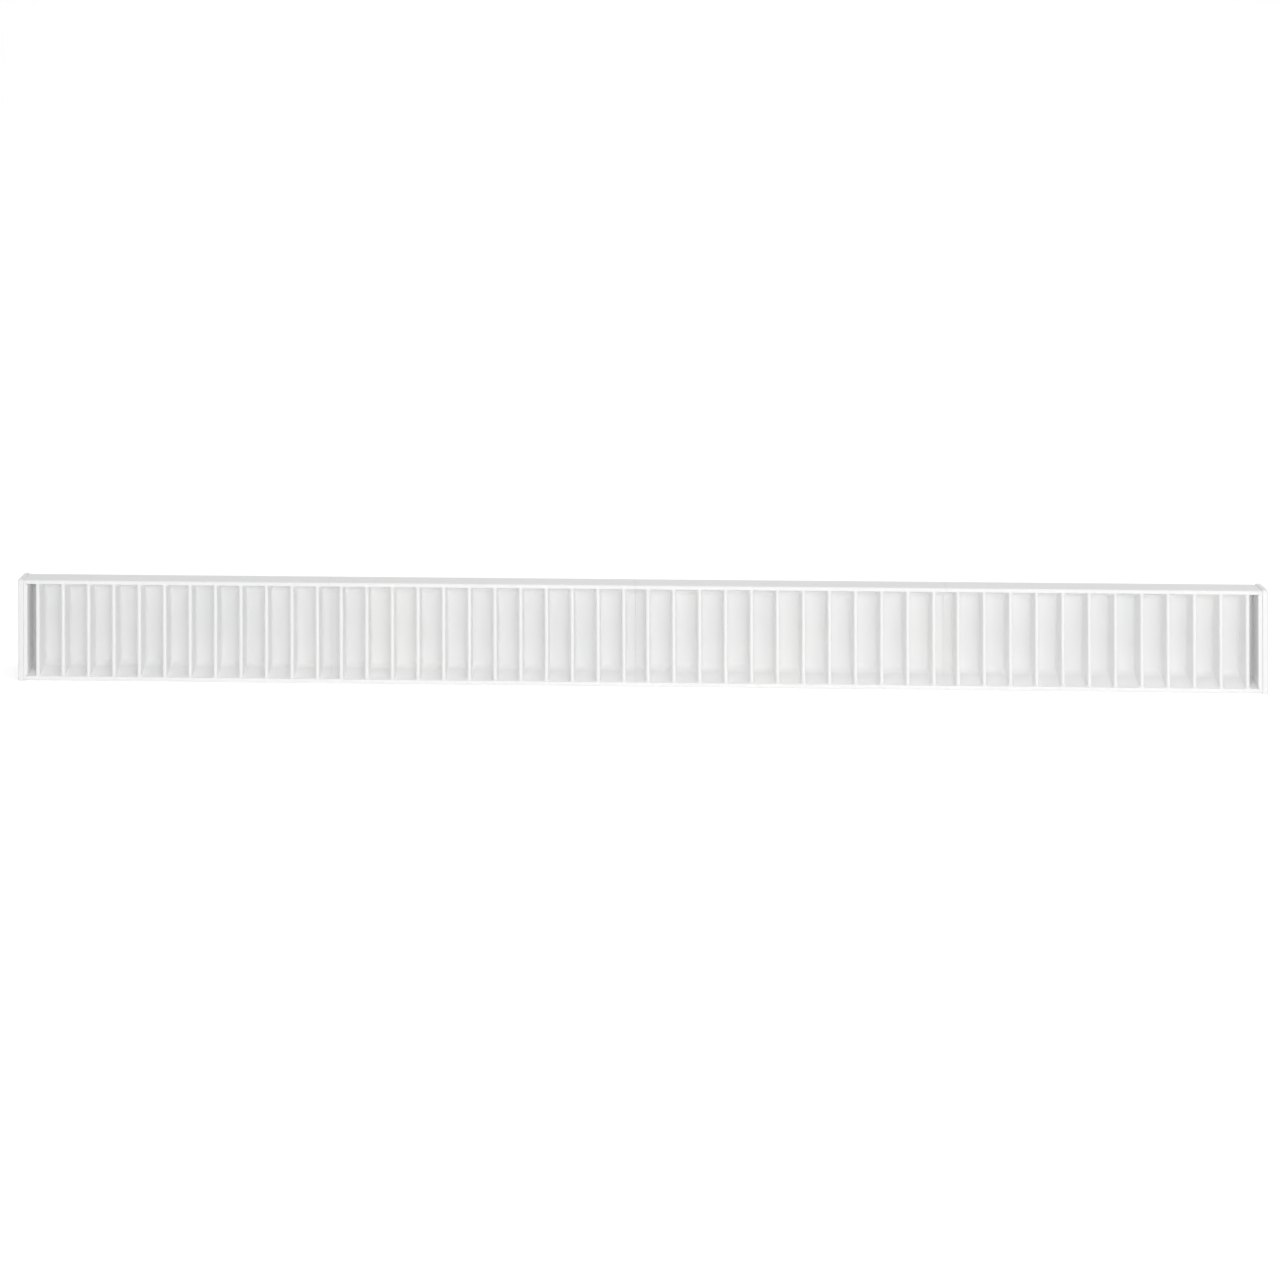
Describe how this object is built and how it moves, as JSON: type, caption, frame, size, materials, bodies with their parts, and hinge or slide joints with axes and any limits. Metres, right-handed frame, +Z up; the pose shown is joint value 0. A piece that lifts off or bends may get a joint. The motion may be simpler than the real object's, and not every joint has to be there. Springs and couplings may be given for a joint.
{
  "type": "finned electric baseboard heater",
  "caption": "Long low white baseboard heater: open-fronted finned cast sections in a row between slim end caps, with a shallow rear casing that hangs on wall brackets.",
  "frame": {"origin": "middle of the length and depth, at the lowest edge of the end caps", "axes": "+X along the heater, left to right seen from the front; +Y from the open front to the wall; +Z up"},
  "size_m": [1.2338, 0.0636, 0.1024],
  "materials": {
    "powder_coated_casting": "white powder coat over cast aluminium",
    "enamelled_sheet": "white baked enamel over sheet steel",
    "zinc_plated_steel": "bright zinc plate",
    "galvanised_bracket": "spangled galvanised steel",
    "element_sheath": "dark oxidised alloy sheath",
    "bush_ceramic": "unglazed steatite",
    "copper_tube": "drawn copper",
    "cutout_moulding": "black phenolic moulding",
    "terminal_moulding": "ivory moulding",
    "terminal_brass": "plated brass",
    "black_lead": "insulated wire",
    "red_lead": "insulated wire",
    "green_lead": "insulated wire",
    "green_screw": "green-tinted plated steel",
    "reflector_sheet": "bright rolled sheet",
    "ceramic_fibre": "soft white fibre",
    "black_rubber": "moulded rubber"
  },
  "bodies": {
    "wall_brackets": {"wall_bracket_left": "galvanised_bracket", "wall_bracket_right": "galvanised_bracket"},
    "heater": {"finned_section_1": "powder_coated_casting", "finned_section_2": "powder_coated_casting", "finned_section_3": "powder_coated_casting", "finned_section_4": "powder_coated_casting", "end_plate_left": "powder_coated_casting", "end_plate_right": "powder_coated_casting", "rear_casing": "enamelled_sheet", "knockout_discs": "enamelled_sheet", "dowel_pins": "zinc_plated_steel", "splice_plates": "zinc_plated_steel", "splice_screws": "zinc_plated_steel", "element_pins": "zinc_plated_steel", "element_clamps": "zinc_plated_steel", "clamp_screws": "zinc_plated_steel", "terminal_plate": "zinc_plated_steel", "plate_screws": "zinc_plated_steel", "bulkhead": "zinc_plated_steel", "casing_screws": "zinc_plated_steel", "hinge_pin": "zinc_plated_steel", "heating_element": "element_sheath", "element_bushes": "bush_ceramic", "sensing_tube": "copper_tube", "thermal_cutout": "cutout_moulding", "terminal_block": "terminal_moulding", "terminal_screws": "terminal_brass", "lead_element_to_cutout": "black_lead", "lead_element_to_block": "black_lead", "lead_cutout_to_block": "red_lead", "ground_lead": "green_lead", "ground_screw": "green_screw", "reflector": "reflector_sheet", "insulation_blanket": "ceramic_fibre", "cable_bushing": "black_rubber", "wall_spacers": "black_rubber"},
    "left_cap": {"end_cap_left": "powder_coated_casting", "left_cap_screws": "zinc_plated_steel"},
    "right_cap": {"end_cap_right": "powder_coated_casting", "right_cap_screws": "zinc_plated_steel"},
    "cover": {"wiring_cover": "enamelled_sheet", "cover_screw": "zinc_plated_steel"}
  },
  "joints": [
    {"name": "heater_lift", "type": "slide", "parent": "wall_brackets", "child": "heater", "axis": [0, 0, 1], "range_m": [0, 0.01]},
    {"name": "left_cap_slide", "type": "slide", "parent": "heater", "child": "left_cap", "axis": [-1, 0, 0], "range_m": [0, 0.04]},
    {"name": "right_cap_slide", "type": "slide", "parent": "heater", "child": "right_cap", "axis": [1, 0, 0], "range_m": [0, 0.04]},
    {"name": "wiring_cover_hinge", "type": "hinge", "parent": "heater", "child": "cover", "pos_m": [0.501, 0.02795, 0.0512], "axis": [0, 0, 1], "range_deg": [0, 110]}
  ]
}
